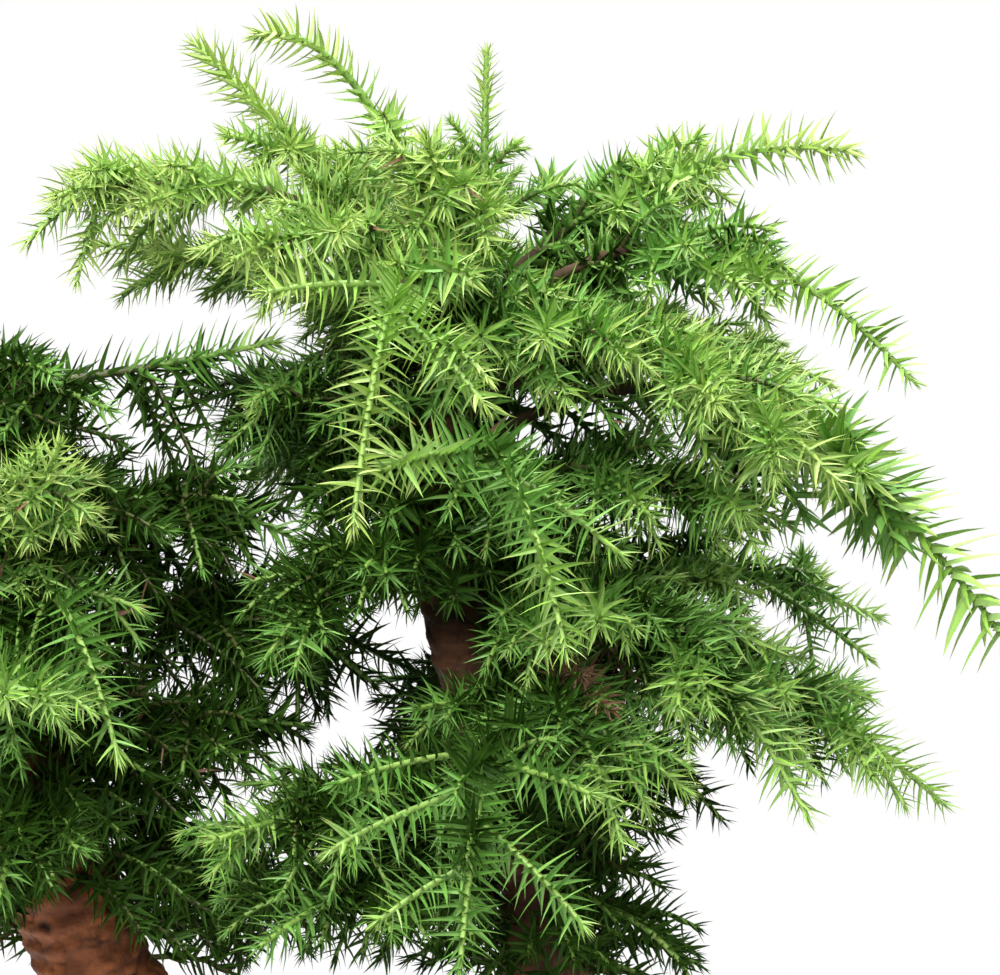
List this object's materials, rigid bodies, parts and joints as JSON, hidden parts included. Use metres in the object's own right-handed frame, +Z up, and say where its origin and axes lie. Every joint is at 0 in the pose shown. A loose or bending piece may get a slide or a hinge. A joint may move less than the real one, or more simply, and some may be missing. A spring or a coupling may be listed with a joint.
{
  "type": "hoop pine bonsai",
  "caption": "Hoop pine bonsai: leaning, tapering trunks from one root carry arching boughs of short sharp needles, in a plain shallow pot filled with soil.",
  "frame": {"origin": "centre of the pot's flat underside", "axes": "+Z up, -Y towards the front that the picture shows, +X to the right as seen from the front"},
  "size_m": [0.3581, 0.2397, 0.4047],
  "materials": {
    "pot": "unglazed, dark grey-brown",
    "soil": "dark granular potting mix",
    "bark": "rough red-brown bark",
    "bough_bark": "brown bark of limbs",
    "foliage": "green waxy needles"
  },
  "bodies": {
    "root": {"back_left_mid_foliage": "foliage", "back_low_foliage": "foliage", "back_mid_foliage": "foliage", "back_right_high_foliage": "foliage", "front_centre_bough": "bough_bark", "front_centre_foliage": "foliage", "front_centre_high_bough": "bough_bark", "front_centre_high_foliage": "foliage", "front_left_high_foliage": "foliage", "front_left_low_foliage": "foliage", "front_left_under_foliage": "foliage", "front_low_bough": "bough_bark", "front_low_foliage": "foliage", "front_right_high_foliage": "foliage", "front_right_low_foliage": "foliage", "left_back_mid_foliage": "foliage", "left_front_mid_foliage": "foliage", "left_high_bough": "bough_bark", "left_high_foliage": "foliage", "left_under_high_foliage": "foliage", "main_trunk": "bark", "pot": "pot", "right_back_low_bough": "bough_bark", "right_back_low_foliage": "foliage", "right_back_mid_foliage": "foliage", "right_back_under_foliage": "foliage", "right_far_bough": "bough_bark", "right_far_foliage": "foliage", "right_front_low_foliage": "foliage", "right_front_mid_bough": "bough_bark", "right_front_mid_foliage": "foliage", "right_high_back_bough": "bough_bark", "right_high_back_foliage": "foliage", "right_high_bough": "bough_bark", "right_high_foliage": "foliage", "right_low_far_foliage": "foliage", "right_low_foliage": "foliage", "right_mid_foliage": "foliage", "second_back_foliage": "foliage", "second_front_foliage": "foliage", "second_front_high_foliage": "foliage", "second_front_low_foliage": "foliage", "second_front_right_foliage": "foliage", "second_right_back_bough": "bough_bark", "second_right_back_foliage": "foliage", "second_right_high_foliage": "foliage", "second_right_low_foliage": "foliage", "second_right_mid_foliage": "foliage", "second_right_under_foliage": "foliage", "second_side_high_foliage": "foliage", "second_side_low_foliage": "foliage", "second_side_mid_bough": "bough_bark", "second_side_mid_foliage": "foliage", "second_spire_foliage": "foliage", "second_trunk": "bark", "soil": "soil", "top_back_left_foliage": "foliage", "top_front_foliage": "foliage", "top_left_foliage": "foliage", "top_spire_foliage": "foliage"}
  },
  "joints": []
}
